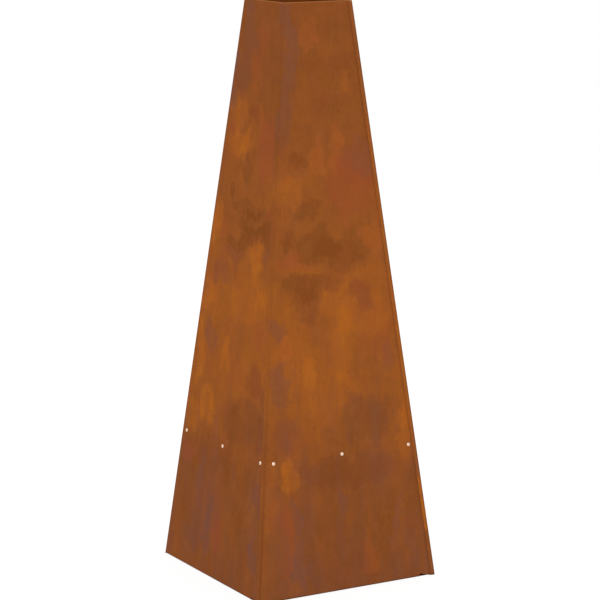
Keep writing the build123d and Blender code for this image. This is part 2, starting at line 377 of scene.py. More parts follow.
def add_node(tree, kind, *values, inputs=None, stops=(), **settings):
    """Adds a shader node with its settings, and fills its inputs in order and by name."""
    node = tree.nodes.new("ShaderNode" + kind)
    for name, value in settings.items():
        setattr(node, name, value)
    for index, (position, colour) in enumerate(stops):
        if index > 1:
            node.color_ramp.elements.new(position)
        node.color_ramp.elements[index].position = position
        node.color_ramp.elements[index].color = (*colour, 1)
    free = [socket for socket in node.inputs if socket.enabled]
    chosen = list(zip(free, values))
    for name, value in (inputs or {}).items():
        chosen.append((next(socket for socket in free if socket.name == name), value))
    for socket, value in chosen:
        if isinstance(value, bpy.types.Node):
            value = next(output for output in value.outputs if output.enabled)
        if isinstance(value, bpy.types.NodeSocket):
            tree.links.new(value, socket)
        elif socket.type == "RGBA":
            socket.default_value = (*value[:3], 1)
        else:
            socket.default_value = value
    return node


def new_material(name):
    """An empty material and its node tree."""
    material = bpy.data.materials.new(name)
    material.use_nodes = True
    material.node_tree.nodes.clear()
    return material, material.node_tree


def blotches(tree, place, size, seed, low=0.36, high=0.64, detail=3):
    """Soft blotches of a size in metres, from 0 to 1, with most of their edge between low and high."""
    noise = add_node(
        tree,
        "TexNoise",
        noise_dimensions="4D",
        inputs={"Vector": place, "W": seed, "Scale": 1 / size, "Detail": detail, "Roughness": 0.55},
    )
    return add_node(tree, "MapRange", noise, low, high, clamp=True)


def wall_axes(tree, side):
    """A wall read as if it were the front one, X across and Z up, with distances from its edges."""
    turn = (0, 0, -math.radians(WALL_TURNS[side]))
    place = add_node(tree, "TexCoord").outputs["Object"]
    place = add_node(tree, "Mapping", inputs={"Vector": place, "Rotation": turn})
    across, inwards, level = add_node(tree, "SeparateXYZ", place).outputs
    half = add_node(tree, "Math", level, -math.tan(LEAN), HALF_BASE, operation="MULTIPLY_ADD")
    from_left = add_node(tree, "Math", across, half, operation="ADD")
    return SimpleNamespace(
        place=place,
        level=level,
        depth=add_node(tree, "Math", inwards, half, operation="ADD"),
        from_left=from_left,
        from_right=add_node(tree, "Math", half, across, operation="SUBTRACT"),
        # The lap is bent away round this wall's left corner
        not_lap=add_node(tree, "MapRange", from_left, mm(-0.2), mm(0.2)),
    )


def pulled_about(tree, place, fingers, seed):
    """The wall's places as the rain has pulled the rust's patches about and frayed their edges."""
    swirl = add_node(
        tree,
        "TexNoise",
        noise_dimensions="4D",
        inputs={"Vector": place, "W": seed, "Scale": 1 / SWIRL_SIZE, "Detail": 4, "Roughness": 0.6},
    )
    shift = add_node(
        tree,
        "VectorMath",
        swirl.outputs["Color"],
        (SWIRL, SWIRL, SWIRL),
        (-SWIRL / 2, -SWIRL / 2, -SWIRL / 2),
        operation="MULTIPLY_ADD",
    )
    fray = add_node(tree, "Math", fingers, FRAY, -FRAY / 2, operation="MULTIPLY_ADD")
    fray = add_node(tree, "CombineXYZ", 0, 0, fray)
    shift = add_node(tree, "VectorMath", shift, fray, operation="ADD")
    return add_node(tree, "VectorMath", place, shift, operation="ADD")


def stained(tree, moods, shifted, stains):
    """A wall's warmth, redness and patina with its stains laid over them one by one."""
    for x, z, width, height, *mood in stains:
        # It has faded by half about where its half width and half height say, and goes through the sheet
        spot = add_node(
            tree,
            "Mapping",
            vector_type="TEXTURE",
            inputs={
                "Vector": shifted,
                "Location": (mm(x), 0, mm(z)),
                "Scale": (mm(width) * 2, 100, mm(height) * 2),
            },
        )
        spot = add_node(tree, "TexGradient", spot, gradient_type="SPHERICAL")
        spot = add_node(tree, "MapRange", spot, 0.26, 0.62, interpolation_type="SMOOTHSTEP")
        moods = add_node(tree, "VectorMath", spot, mood, moods, operation="MULTIPLY_ADD")
    return moods


def seam_grime_and_painted_shade(tree, side, wall, clouds, mottle, washed):
    """Painted shade in the seam beside the next wall's lap, with some grime there, and painted shade round
    the fold and along the foot.
    """
    # Painted shade of the next wall's lap step, with some grime, in the seam beside it
    seam = add_node(tree, "Math", wall.from_right, LAP_WIDTH, operation="SUBTRACT")
    seam = add_node(tree, "Math", seam, operation="ABSOLUTE")
    beside = add_node(tree, "MapRange", seam, mm(6), 0)
    uneven = add_node(tree, "Math", clouds, SEAM_GRIME_AND_SHADE[side], 0.01, operation="MULTIPLY_ADD")
    beside = add_node(tree, "Math", beside, uneven, operation="MULTIPLY")
    # Painted shade along the rounded fold round the corner
    fold = add_node(tree, "Math", wall.from_left, operation="ABSOLUTE")
    fold = add_node(tree, "MapRange", fold, mm(4), 0)
    near_face = add_node(tree, "MapRange", wall.depth, mm(6), mm(3), 0, 1)
    uneven = add_node(tree, "Math", mottle, 0.16, 0.04, operation="MULTIPLY_ADD")
    uneven = add_node(tree, "Math", washed, 0.2, uneven, operation="MULTIPLY_ADD")
    for part in (near_face, uneven):
        fold = add_node(tree, "Math", fold, part, operation="MULTIPLY")
    # Painted shade along the foot, where the bottom bend faces down
    foot = add_node(tree, "MapRange", wall.level, mm(4), mm(1.5), 0, 0.6)
    shade_and_grime = add_node(tree, "Math", beside, fold, operation="MAXIMUM")
    return add_node(tree, "Math", shade_and_grime, foot, operation="MAXIMUM")


def painted_edge_highlights(tree, wall):
    """The rim and the lap's cut end, made lighter as painted highlights."""
    on_lap = add_node(tree, "Math", 1, wall.not_lap, operation="SUBTRACT")
    lap_end = add_node(tree, "MapRange", wall.depth, LAP_WIDTH - mm(0.5), LAP_WIDTH - mm(0.1), 0, 0.3)
    lap_end = add_node(tree, "Math", lap_end, on_lap, operation="MULTIPLY")
    # A painted highlight along the rim's top edge
    rim = add_node(tree, "MapRange", wall.level, HEIGHT - mm(2.2), HEIGHT - mm(0.8), 0, 0.55)
    return add_node(tree, "Math", rim, lap_end, operation="MAXIMUM")


def wall_rust(side, rust):
    """Rust grown in the rain on a bare weathering-steel wall: clouds, run-off streaks and fine grain."""
    seed = 3.7 + WALL_TURNS[side] / 90 * 5.3  # so that no wall repeats another's pattern
    material, tree = new_material(f"Weathering steel rusted in the rain, {side} wall")
    wall = wall_axes(tree, side)
    place = wall.place

    # Run-off stretches the streaks upwards, and thinner drips fray the clouds' edges
    flow = add_node(
        tree,
        "Mapping",
        inputs={"Vector": place, "Scale": (1, 0, rust.streak_width / rust.streak_length)},
    )
    streaks = blotches(tree, flow, rust.streak_width, seed)
    drips = blotches(tree, flow, rust.streak_width * 0.45, seed + 1)
    threads = blotches(tree, flow, rust.streak_width * 0.2, seed + 11)
    fingers = blotches(tree, flow, rust.streak_width * 0.75, seed + 10, 0.3, 0.7, 2)
    clouds = blotches(tree, place, rust.cloud_size, seed + 2, 0.3, 0.7, 4)
    mottle = blotches(tree, place, rust.cloud_size * 0.25, seed + 3)
    specks = blotches(tree, place, rust.cloud_size * 0.1, seed + 8)
    shifted = pulled_about(tree, place, fingers, seed + 4)

    # Warmth runs from deep brown to bright orange, and the patterns break it up
    share = add_node(tree, "SeparateXYZ", shifted).outputs["Z"]
    share = add_node(tree, "Math", share, HEIGHT, operation="DIVIDE")
    warmth, patina, washed = (
        add_node(tree, "ValToRGB", share, stops=[(high, (value,) * 3) for high, value in profile])
        for profile in (WARMTH_UP_THE_WALL, PATINA_UP_THE_WALL, STREAKS_UP_THE_WALL)
    )
    for layer, amount in ((clouds, 0.16), (mottle, 0.15), (specks, 0.10), (threads, 0.10)):
        layer = add_node(tree, "Math", layer, 0.5, operation="SUBTRACT")
        warmth = add_node(tree, "Math", layer, amount, warmth, operation="MULTIPLY_ADD")
    for layer, amount in ((streaks, 0.28), (drips, 0.08)):
        layer = add_node(tree, "Math", layer, 0.5, operation="SUBTRACT")
        layer = add_node(tree, "Math", layer, washed, operation="MULTIPLY")
        warmth = add_node(tree, "Math", layer, amount, warmth, operation="MULTIPLY_ADD")
    # The lap and its bend get a painted highlight, on the back wall painted shade instead
    pale = LAP_PAINTED_LIGHT[side]
    painted_lap_light = add_node(tree, "Math", wall.not_lap, -pale, pale, operation="MULTIPLY_ADD")
    warmth = add_node(tree, "Math", warmth, painted_lap_light, operation="ADD")

    # Purple patina lies in veins where the water runs and in faint tinges anywhere, and red in patches
    veins = blotches(tree, flow, rust.streak_width * 0.8, seed + 6, 0.42, 0.7)
    veins = add_node(tree, "Math", veins, 0.35, operation="SUBTRACT")
    veins = add_node(tree, "Math", veins, washed, operation="MULTIPLY")
    patina = add_node(tree, "Math", veins, 0.6, patina, operation="MULTIPLY_ADD")
    tinges = blotches(tree, place, rust.cloud_size * 0.3, seed + 12, 0.45, 0.75)
    patina = add_node(tree, "Math", tinges, 0.16, patina, operation="MULTIPLY_ADD")
    reds = blotches(tree, shifted, rust.cloud_size * 0.45, seed + 5, 0.45, 0.75)
    reds = add_node(tree, "Math", reds, 0.4, operation="MULTIPLY")
    moods = add_node(tree, "CombineXYZ", warmth, reds, patina)
    moods = stained(tree, moods, shifted, WALL_STAINS[side])
    warmth, redness, patina = add_node(tree, "SeparateXYZ", moods).outputs

    # The rain wears the patina thin in threads and spots
    wear = add_node(tree, "Math", drips, 0.5, 0.5, operation="MULTIPLY_ADD")
    wear = add_node(tree, "Math", specks, 0.5, wear, operation="MULTIPLY_ADD")
    patina = add_node(tree, "Math", patina, wear, operation="MULTIPLY")

    # Freckles of older, harder rust
    freckles = blotches(tree, place, rust.freckle_size, seed + 9, 0.58, 0.72, 2)
    warmth = add_node(tree, "Math", freckles, -0.16, warmth, operation="MULTIPLY_ADD")

    shades = (0, rust.deep), (0.25, rust.brown), (0.5, rust.plain), (0.78, rust.orange), (1, rust.bright)
    colour = add_node(tree, "ValToRGB", warmth, stops=shades)

    # The inside rust is darker and more even, its darkening partly painted shade inside the flue
    past_skin = add_node(tree, "MapRange", wall.depth, mm(0.9), mm(1.5))
    inside = add_node(tree, "Math", past_skin, wall.not_lap, operation="MULTIPLY")

    # What covers the rust's own colour, from the lowest layer up, and how densely it does
    for cover, strength, shade in (
        (redness, 0.6, rust.red),
        (patina, 0.62, rust.purple),
        # Darker inside, partly as painted shade
        (inside, 0.8, rust.inside),
        # Painted shade in the seam, round the fold and at the foot, with some grime in the seam
        (seam_grime_and_painted_shade(tree, side, wall, clouds, mottle, washed), 1, rust.seam),
        # Painted highlights on the rim and on the lap's cut end
        (painted_edge_highlights(tree, wall), 1, rust.rim),
    ):
        cover = add_node(tree, "Math", cover, strength, operation="MULTIPLY", use_clamp=True)
        colour = add_node(tree, "Mix", cover, colour, shade, data_type="RGBA")

    # The real grain is finer than a pixel, so it is drawn as coarse as it needs to show
    grain = blotches(tree, place, rust.grain_size, seed + 7, 0.3, 0.7, 2)
    shade = add_node(tree, "MapRange", grain, 0, 1, 0.9, 1.07)
    shade = add_node(tree, "CombineColor", shade, shade, shade)
    colour = add_node(tree, "Mix", 1, colour, shade, data_type="RGBA", blend_type="MULTIPLY")
    height = add_node(tree, "Math", grain, mottle, operation="ADD")
    relief = add_node(tree, "Bump", inputs={"Strength": 0.5, "Distance": mm(0.25), "Height": height})
    surface = add_node(
        tree,
        "BsdfPrincipled",
        inputs={
            "Base Color": colour,
            # The freshest bloom is the most matt
            "Roughness": add_node(tree, "MapRange", warmth, 0, 1, 0.74, 0.93),
            "Normal": relief,
            "Specular IOR Level": 0.02,  # so porous a crust hardly shines
        },
    )
    add_node(tree, "OutputMaterial", surface)
    return material


def weld_rust(weld):
    """Rusted weld metal: browner patches over a fine grain, duller where the rust is thick."""
    material, tree = new_material(WELD_METAL)
    place = add_node(tree, "TexCoord").outputs["Object"]
    patches = blotches(tree, place, mm(6), 1.3)
    grain = blotches(tree, place, mm(0.9), 2.1)
    pale = add_node(tree, "Math", grain, 0.4, patches, operation="MULTIPLY_ADD")
    surface = add_node(
        tree,
        "BsdfPrincipled",
        inputs={
            "Base Color": add_node(tree, "Mix", pale, weld.dark, weld.light, data_type="RGBA"),
            "Roughness": add_node(tree, "MapRange", patches, 0, 1, 0.5, 0.85),
            "Normal": add_node(
                tree, "Bump", inputs={"Strength": 0.6, "Distance": mm(0.12), "Height": grain}
            ),
            "Specular IOR Level": 0.3,
        },
    )
    add_node(tree, "OutputMaterial", surface)
    return material


def burnt_sheet(name, hearth, seed):
    """Sheet steel browned by the fire, with soot in soft patches and rust grain between them."""
    material, tree = new_material(name)
    place = add_node(tree, "TexCoord").outputs["Object"]
    clouds = blotches(tree, place, mm(90), seed, 0.34, 0.66, 4)
    patches = blotches(tree, place, mm(20), seed + 1)
    grain = blotches(tree, place, mm(1.2), seed + 2, 0.3, 0.7)
    soot = add_node(tree, "Math", clouds, 0.5, 0.25, operation="MULTIPLY_ADD")
    soot = add_node(tree, "Math", patches, soot, operation="MULTIPLY")
    shade = add_node(tree, "MapRange", grain, 0, 1, 0.85, 1.1)
    shade = add_node(tree, "CombineColor", shade, shade, shade)
    colour = add_node(tree, "Mix", clouds, hearth.warm, hearth.burnt, data_type="RGBA")
    colour = add_node(tree, "Mix", soot, colour, hearth.soot, data_type="RGBA")
    colour = add_node(tree, "Mix", 1, colour, shade, data_type="RGBA", blend_type="MULTIPLY")
    height = add_node(tree, "Math", grain, patches, operation="ADD")
    surface = add_node(
        tree,
        "BsdfPrincipled",
        inputs={
            "Base Color": colour,
            "Roughness": add_node(tree, "MapRange", patches, 0, 1, 0.7, 0.9),
            "Normal": add_node(
                tree, "Bump", inputs={"Strength": 0.5, "Distance": mm(0.2), "Height": height}
            ),
            "Specular IOR Level": 0.25,
        },
    )
    add_node(tree, "OutputMaterial", surface)
    return material


def bar_skin(hearth):
    """Hot-rolled bar: blue-grey mill scale with rust coming through in patches and freckles."""
    material, tree = new_material(BAR_STEEL)
    place = add_node(tree, "TexCoord").outputs["Object"]
    patches = blotches(tree, place, mm(30), 5.2, 0.42, 0.6, 4)
    freckles = blotches(tree, place, mm(3), 6.1, 0.52, 0.62)
    rust = add_node(tree, "Math", patches, freckles, operation="MAXIMUM")
    height = add_node(tree, "Math", rust, blotches(tree, place, mm(1), 7.7), operation="ADD")
    surface = add_node(
        tree,
        "BsdfPrincipled",
        inputs={
            "Base Color": add_node(tree, "Mix", rust, hearth.scale, hearth.bar_rust, data_type="RGBA"),
            "Metallic": add_node(tree, "MapRange", rust, 0, 1, 0.55, 0),
            "Roughness": add_node(tree, "MapRange", rust, 0, 1, 0.5, 0.88),
            "Normal": add_node(
                tree, "Bump", inputs={"Strength": 0.6, "Distance": mm(0.1), "Height": height}
            ),
        },
    )
    add_node(tree, "OutputMaterial", surface)
    return material


def zinc_plate(fastener):
    """Zinc plating, warm-tinted by a painted reflection of the rust round it: a clean metal that has begun
    to dull in small clouds.
    """
    material, tree = new_material(ZINC)
    place = add_node(tree, "TexCoord").outputs["Object"]
    clouds = blotches(tree, place, mm(2), 9.4)
    # Both colours carry the painted warm reflection of the rust
    colour = add_node(tree, "Mix", clouds, fastener.zinc, fastener.dull_zinc, data_type="RGBA")
    rough = add_node(tree, "MapRange", clouds, 0, 1, 0.28, 0.42)
    surface = add_node(
        tree, "BsdfPrincipled", inputs={"Base Color": colour, "Metallic": 1, "Roughness": rough}
    )
    add_node(tree, "OutputMaterial", surface)
    return material


def finish_once(name, make, *details):
    """A finish made the first time it is asked for."""
    return bpy.data.materials.get(name) or make(*details)


def select_only(*pieces):
    """Selects these objects and nothing else, the first one active."""
    bpy.ops.object.select_all(action="DESELECT")
    for piece in pieces:
        piece.select_set(True)
    bpy.context.view_layer.objects.active = pieces[0]


def paint_node(name, material):
    """Gives a CAD node a finish in the slot that it has."""
    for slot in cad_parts[name].material_slots:
        slot.material = material


def hand_over(piece, name, body, material, node=None):
    """Names a finished piece, paints it and lets it ride on its CAD body in place of its node."""
    select_only(piece)
    bpy.ops.object.transform_apply(location=True, rotation=True, scale=True)
    piece.name = name
    piece.data.name = name
    piece.data.materials.clear()
    piece.data.materials.append(material)
    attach(piece, body)
    if node:
        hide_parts(node)


def start(primitive, **details):
    """Adds a primitive with nothing else selected, and returns it with its place in its mesh."""
    bpy.ops.object.select_all(action="DESELECT")
    primitive(**details)
    piece = bpy.context.object
    bpy.ops.object.transform_apply(location=True, rotation=True, scale=True)
    return piece


def copy_of(piece, place):
    """A copy of a piece with its own mesh, moved by a matrix."""
    select_only(piece)
    bpy.ops.object.duplicate(linked=False)
    twin = bpy.context.object
    twin.matrix_world = place @ twin.matrix_world
    bpy.ops.object.transform_apply(location=True, rotation=True, scale=True)
    return twin


def joined(pieces):
    """Several pieces as one object."""
    select_only(*pieces)
    bpy.ops.object.join()
    return bpy.context.object


def apply_modifier(piece, kind, **settings):
    """Adds a modifier with its settings and applies it."""
    select_only(piece)
    modifier = piece.modifiers.new(kind.title(), kind)
    for name, value in settings.items():
        setattr(modifier, name, value)
    bpy.ops.object.modifier_apply(modifier=modifier.name)


def soften(piece, width, segments=2):
    """Rounds the sharp edges by a radius and shades the curves smooth."""
    apply_modifier(
        piece, "BEVEL", width=width, segments=segments, limit_method="ANGLE", angle_limit=math.radians(40)
    )
    bpy.ops.object.shade_smooth_by_angle(angle=SMOOTH_ANGLE)


def tidy_mesh(piece):
    """Merges doubled points and turns every face outwards."""
    select_only(piece)
    bpy.ops.object.mode_set(mode="EDIT")
    bpy.ops.mesh.select_all(action="SELECT")
    bpy.ops.mesh.remove_doubles(threshold=1e-6)
    bpy.ops.mesh.normals_make_consistent(inside=False)
    bpy.ops.object.mode_set(mode="OBJECT")


def choose_faces(piece, test):
    """In edit mode, selects the faces that pass a test."""
    bpy.ops.mesh.select_mode(type="FACE")
    bpy.ops.mesh.select_all(action="DESELECT")
    mesh = bmesh.from_edit_mesh(piece.data)
    for face in mesh.faces:
        face.select_set(test(face))
    mesh.select_flush_mode()
    bmesh.update_edit_mesh(piece.data)


def bent_bar(low, high, end, steps):
    """A bar that starts as a straight block and is drawn on from one end by quarter bends and runs."""
    piece = start(
        bpy.ops.mesh.primitive_cube_add,
        size=1,
        scale=Vector(high) - Vector(low),
        location=(Vector(high) + Vector(low)) / 2,
    )
    bpy.ops.object.mode_set(mode="EDIT")
    choose_faces(piece, lambda face: face.normal.dot(Vector(end)) > 0.9)
    for kind, value, *axis in steps:
        if kind == "run":
            bpy.ops.mesh.extrude_region_move(TRANSFORM_OT_translate={"value": value})
        else:
            # Spin turns against its axis
            bpy.ops.mesh.spin(steps=8, angle=-math.pi / 2, center=value, axis=axis)
    bpy.ops.object.mode_set(mode="OBJECT")
    tidy_mesh(piece)
    return piece


def choose_edges(piece, test):
    """In edit mode, selects the edges that pass a test of their two ends."""
    bpy.ops.mesh.select_mode(type="EDGE")
    bpy.ops.mesh.select_all(action="DESELECT")
    mesh = bmesh.from_edit_mesh(piece.data)
    for edge in mesh.edges:
        edge.select_set(test(*(point.co for point in edge.verts)))
    bmesh.update_edit_mesh(piece.data)


def ring(outer, inner, low, high, edge):
    """A flat ring about the Z axis with a hole through it and its outer edges chamfered."""
    piece = start(
        bpy.ops.mesh.primitive_cylinder_add,
        vertices=36,
        radius=outer,
        depth=high - low,
        location=(0, 0, (low + high) / 2),
    )
    bpy.ops.object.mode_set(mode="EDIT")
    choose_edges(piece, lambda one, two: abs(one.z - two.z) < mm(0.01))
    bpy.ops.mesh.bevel(offset=edge, segments=2, affect="EDGES")
    choose_faces(piece, lambda face: abs(face.normal.z) > 0.99)
    bpy.ops.mesh.inset(thickness=outer - edge - inner)
    bpy.ops.mesh.bridge_edge_loops()
    bpy.ops.object.mode_set(mode="OBJECT")
    tidy_mesh(piece)
    bpy.ops.object.shade_smooth_by_angle(angle=SMOOTH_ANGLE)
    return piece


def cut(piece, tool, operation="DIFFERENCE"):
    """Cuts a piece with a tool, or keeps what they share, and removes the tool."""
    apply_modifier(piece, "BOOLEAN", operation=operation, object=tool, solver="EXACT")
    bpy.data.objects.remove(tool)


def screw_places(side):
    """Matrices of a wall's three screws, Z outwards from the wall's face."""
    face = Matrix.Translation((0, -(HALF_BASE - SCREW_LEVEL * math.tan(LEAN)), SCREW_LEVEL))
    face = Matrix.Rotation(math.radians(WALL_TURNS[side]), 4, "Z") @ face
    face = face @ Matrix.Rotation(math.pi / 2 - LEAN, 4, "X")
    return [face @ Matrix.Translation((x, 0, 0)) for x in (-SCREW_SPREAD, 0, SCREW_SPREAD)]


def weld_bead(length, pitch, radius, seed):
    """A weld bead up the Z axis, drawn on ring by ring through its ripples."""
    chance = random.Random(seed)
    tip = 0.45  # share of the radius at its two ends
    bead = start(
        bpy.ops.mesh.primitive_circle_add, vertices=14, radius=radius * tip, fill_type="NGON"
    )
    bpy.ops.object.mode_set(mode="EDIT")
    bpy.ops.mesh.select_mode(type="FACE")
    bpy.ops.mesh.select_all(action="SELECT")
    now = tip
    count = round(length / pitch)
    for index in range(count):
        swell = chance.uniform(0.95, 1.05) * (0.85 if index in (0, count - 1) else 1)
        for share in (0.9, 1.0, 0.98) if index < count - 1 else (0.9, 0.85, tip):
            bpy.ops.mesh.extrude_region_move(TRANSFORM_OT_translate={"value": (0, 0, pitch / 3)})
            bpy.ops.transform.resize(value=(share * swell / now, share * swell / now, 1))
            now = share * swell
    bpy.ops.object.mode_set(mode="OBJECT")
    tidy_mesh(bead)
    bpy.ops.object.shade_smooth_by_angle(angle=math.radians(60))
    return bead


class FIREPLACE_OT_walls(bpy.types.Operator):
    """Rust the four folded walls"""

    bl_idname = "fireplace.walls"
    bl_label = "Rust the walls"

    def execute(self, context):
        for side in WALL_TURNS:
            paint_node(side + "_wall", wall_rust(side, context.scene.fireplace_rust))
        return {"FINISHED"}


class FIREPLACE_OT_corner_welds(bpy.types.Operator):
    """Lay the rippled stitches up the inside of the four corners"""

    bl_idname = "fireplace.corner_welds"
    bl_label = "Weld the corners"

    def execute(self, context):
        weld = context.scene.fireplace_weld
        finish = finish_once(WELD_METAL, weld_rust, weld)
        slope = math.tan(LEAN)
        up = Vector((slope, slope, 1))
        corner = -(HALF_BASE - slope * WELD_MARGIN) + WALL_RUN
        stitch = weld_bead(weld.stitch_length, weld.ripple_pitch, radius=mm(2.4), seed=5)
        # The bead bridges the gap between one wall's cut edge and its neighbour's inner face
        stand = Matrix.Translation((corner + mm(0.7), corner + mm(1.5), WELD_MARGIN))
        stand = stand @ up.to_track_quat("Z", "Y").to_matrix().to_4x4()
        rise = (HEIGHT - 2 * WELD_MARGIN - weld.stitch_length) / (STITCHES - 1)
        for name, turn in CORNER_TURNS.items():
            row = []
            for index in range(STITCHES):
                place = Matrix.Rotation(math.radians(turn), 4, "Z") @ Matrix.Translation(up * rise * index)
                row.append(copy_of(stitch, place @ stand))
            hand_over(joined(row), name + "_stitches", "body", finish, name + "_corner_welds")
        bpy.data.objects.remove(stitch)
        return {"FINISHED"}


class FIREPLACE_OT_fire_floor(bpy.types.Operator):
    """Brown the fire floor with heat and soot"""

    bl_idname = "fireplace.fire_floor"
    bl_label = "Burn the fire floor"

    def execute(self, context):
        finish = burnt_sheet("Fire floor browned by heat", context.scene.fireplace_hearth, 2.4)
        paint_node("fire_floor", finish)
        return {"FINISHED"}


class FIREPLACE_OT_screws(bpy.types.Operator):
    """Make the twelve button-head screws with sockets and threads"""

    bl_idname = "fireplace.screws"
    bl_label = "Make the screws"

    def execute(self, context):
        fastener = context.scene.fireplace_fastener
        finish = finish_once(ZINC, zinc_plate, fastener)
        head_rim = mm(0.6)  # height of the straight side under the dome
        dome_height = mm(1.8)
        shank_radius = mm(1.62)
        shank_length = mm(12)
        socket_radius = mm(1.44)
        socket_floor = mm(1.1)
        socket_length = mm(3)
        thread_height = mm(0.33)
        screw = start(
            bpy.ops.mesh.primitive_uv_sphere_add,
            segments=36,
            ring_count=18,
            radius=1,
            scale=(HEAD_RADIUS, HEAD_RADIUS, dome_height),
            location=(0, 0, head_rim),
        )
        bpy.ops.object.mode_set(mode="EDIT")
        bpy.ops.mesh.select_all(action="SELECT")
        bpy.ops.mesh.bisect(
            plane_co=(0, 0, head_rim), plane_no=(0, 0, 1), use_fill=True, clear_inner=True, threshold=1e-7
        )
        choose_faces(screw, lambda face: face.normal.z < -0.99)
        bpy.ops.mesh.extrude_region_move(TRANSFORM_OT_translate={"value": (0, 0, -head_rim)})
        bpy.ops.mesh.inset(thickness=HEAD_RADIUS - shank_radius)
        bpy.ops.mesh.extrude_region_move(TRANSFORM_OT_translate={"value": (0, 0, -shank_length)})
        choose_edges(screw, lambda one, two: max(one.z, two.z) < mm(0.1) - shank_length)
        bpy.ops.mesh.bevel(offset=mm(0.3), segments=1, affect="EDGES")
        bpy.ops.object.mode_set(mode="OBJECT")
        tidy_mesh(screw)
        socket = start(
            bpy.ops.mesh.primitive_cylinder_add,
            vertices=6,
            radius=socket_radius,
            depth=socket_length,
            location=(0, 0, socket_floor + socket_length / 2),
            rotation=(0, 0, math.radians(5)),
        )
        cut(screw, socket)
        soften(screw, mm(0.12))
        # A three-cornered ridge, half sunk in the shank, is wound up it
        thread = start(
            bpy.ops.mesh.primitive_circle_add,
            vertices=3,
            radius=thread_height,
            location=(shank_radius + mm(0.04), 0, mm(0.4) - shank_length),
            rotation=(math.pi / 2, math.pi / 2, 0),
        )
        apply_modifier(
            thread,
            "SCREW",
            angle=2 * math.pi,
            screw_offset=fastener.thread_pitch,
            iterations=15,
            steps=18,
            render_steps=18,
            use_merge_vertices=True,
        )
        bpy.ops.object.mode_set(mode="EDIT")
        bpy.ops.mesh.select_all(action="SELECT")
        bpy.ops.mesh.fill_holes(sides=4)
        bpy.ops.object.mode_set(mode="OBJECT")
        tidy_mesh(thread)
        bpy.ops.object.shade_smooth_by_angle(angle=SMOOTH_ANGLE)
        screw = joined([screw, thread])
        for side in WALL_TURNS:
            three = joined([copy_of(screw, place) for place in screw_places(side)])
            name = side + "_screws"
            hand_over(three, side + "_button_screws", "body", finish, name)
        bpy.data.objects.remove(screw)
        return {"FINISHED"}


class FIREPLACE_OT_washers_and_nuts(bpy.types.Operator):
    """Turn the washers and cut the nuts behind the fire floor's flanges"""

    bl_idname = "fireplace.washers_and_nuts"
    bl_label = "Make the washers and nuts"

    def execute(self, context):
        fastener = context.scene.fireplace_fastener
        finish = finish_once(ZINC, zinc_plate, fastener)
        seat = -(2 * SHEET + FLOOR_FIT)
        back = seat - WASHER_THICKNESS
        nut_height = mm(3.2)
        across_flats = mm(7)
        washer = ring(outer=mm(4.5), inner=mm(2.25), low=back, high=seat, edge=mm(0.12))
        nut = ring(outer=mm(4.15), inner=mm(2.05), low=back - nut_height, high=back, edge=mm(0.45))
        blank = start(
            bpy.ops.mesh.primitive_cylinder_add,
            vertices=6,
            radius=across_flats / 2 / math.cos(math.radians(30)),
            depth=nut_height + mm(0.2),
            location=(0, 0, back - nut_height / 2),
            rotation=(0, 0, math.radians(30)),
        )
        cut(nut, blank, "INTERSECT")
        soften(nut, mm(0.08))
        for side in WALL_TURNS:
            places = screw_places(side)
            for part, what, node in ((washer, "_flat_washers", "_washers"), (nut, "_hex_nuts", "_nuts")):
                three = joined([copy_of(part, place) for place in places])
                hand_over(three, side + what, "body", finish, side + node)
        bpy.data.objects.remove(washer)
        bpy.data.objects.remove(nut)
        return {"FINISHED"}


